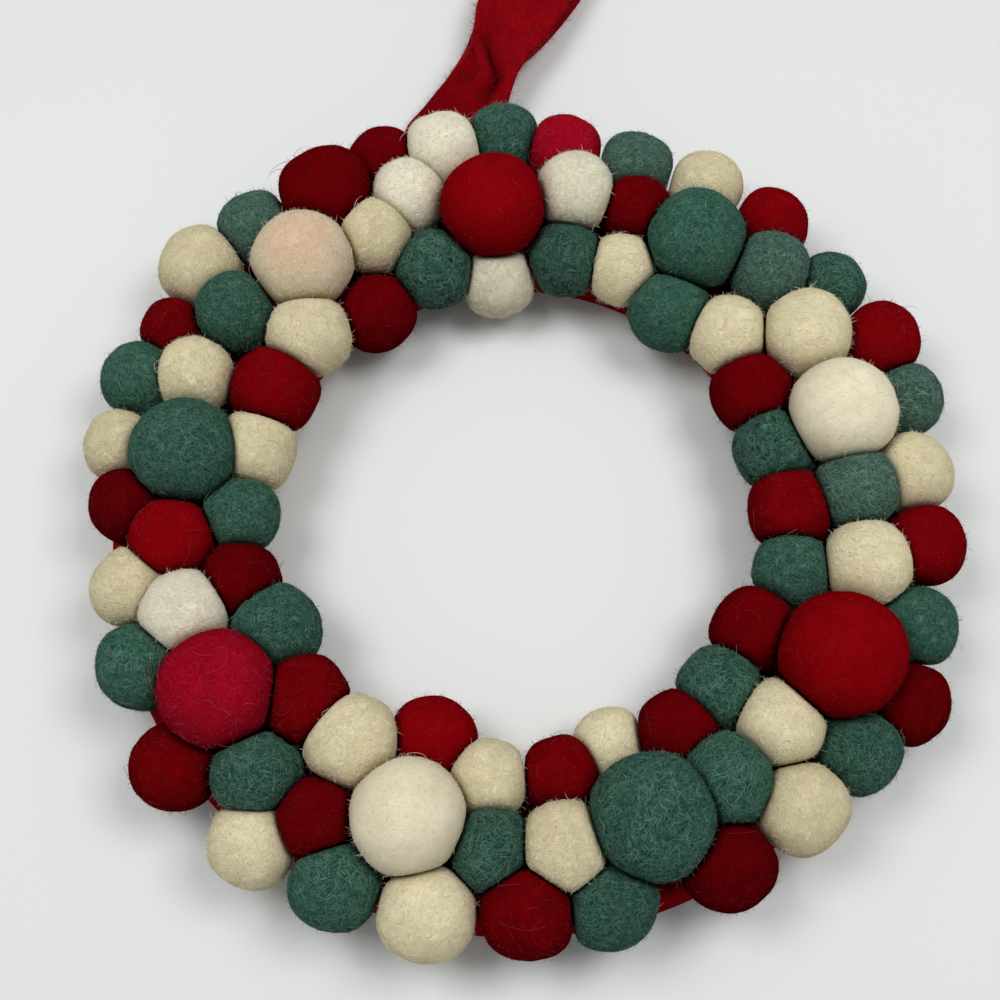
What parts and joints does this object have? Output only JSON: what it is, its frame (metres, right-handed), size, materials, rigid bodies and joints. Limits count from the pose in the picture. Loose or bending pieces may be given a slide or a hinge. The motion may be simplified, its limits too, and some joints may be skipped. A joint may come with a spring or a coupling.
{
  "type": "felt ball wreath",
  "caption": "Round wreath of wool felt balls in three rows on a flat-backed felt ring, with a folded felt hanging loop.",
  "frame": {"origin": "middle of the box's underside, on the surface that the wreath's flat back lies on", "axes": "+Z out of the wreath's face, +Y towards its top and the hanging loop, +X to its right seen from the front"},
  "size_m": [0.2958, 0.3894, 0.0573],
  "materials": {
    "wool_cream": "matte",
    "wool_oatmeal": "matte",
    "wool_white": "matte",
    "wool_blush": "matte",
    "wool_teal": "matte",
    "wool_red": "matte",
    "wool_dark_red": "matte",
    "wool_crimson": "matte",
    "red_felt": "matte"
  },
  "bodies": {
    "root": {"base_ring": "red_felt", "felt_ball_group_01": "wool_blush", "felt_ball_group_02": "wool_teal", "felt_ball_group_03": "wool_cream", "felt_ball_group_04": "wool_red", "felt_ball_group_05": "wool_cream", "felt_ball_group_06": "wool_teal", "felt_ball_group_07": "wool_cream", "felt_ball_group_08": "wool_crimson", "felt_ball_group_09": "wool_white", "felt_ball_group_10": "wool_red", "felt_ball_group_11": "wool_teal", "felt_ball_group_12": "wool_dark_red", "felt_ball_inner_01": "wool_teal", "felt_ball_inner_02": "wool_cream", "felt_ball_inner_05": "wool_dark_red", "felt_ball_inner_06": "wool_teal", "felt_ball_inner_07": "wool_red", "felt_ball_inner_08": "wool_teal", "felt_ball_inner_11": "wool_dark_red", "felt_ball_inner_12": "wool_cream", "felt_ball_inner_13": "wool_red", "felt_ball_inner_15": "wool_red", "felt_ball_inner_18": "wool_teal", "felt_ball_inner_21": "wool_cream", "felt_ball_inner_22": "wool_red", "felt_ball_inner_24": "wool_dark_red", "felt_ball_inner_25": "wool_teal", "felt_ball_inner_26": "wool_oatmeal", "felt_ball_middle_01": "wool_oatmeal", "felt_ball_middle_02": "wool_dark_red", "felt_ball_middle_07": "wool_teal", "felt_ball_middle_08": "wool_cream", "felt_ball_middle_13": "wool_cream", "felt_ball_middle_14": "wool_teal", "felt_ball_middle_16": "wool_dark_red", "felt_ball_middle_17": "wool_teal", "felt_ball_middle_22": "wool_cream", "felt_ball_middle_23": "wool_teal", "felt_ball_middle_27": "wool_red", "felt_ball_outer_01": "wool_crimson", "felt_ball_outer_02": "wool_teal", "felt_ball_outer_03": "wool_cream", "felt_ball_outer_04": "wool_red", "felt_ball_outer_06": "wool_red", "felt_ball_outer_08": "wool_cream", "felt_ball_outer_09": "wool_red", "felt_ball_outer_10": "wool_teal", "felt_ball_outer_12": "wool_teal", "felt_ball_outer_14": "wool_dark_red", "felt_ball_outer_16": "wool_red", "felt_ball_outer_18": "wool_teal", "felt_ball_outer_19": "wool_cream", "felt_ball_outer_21": "wool_teal", "felt_ball_outer_25": "wool_teal", "felt_ball_outer_26": "wool_red", "felt_ball_outer_27": "wool_cream", "felt_ball_outer_28": "wool_teal", "felt_ball_outer_32": "wool_teal", "hanging_loop": "red_felt"}
  },
  "joints": []
}
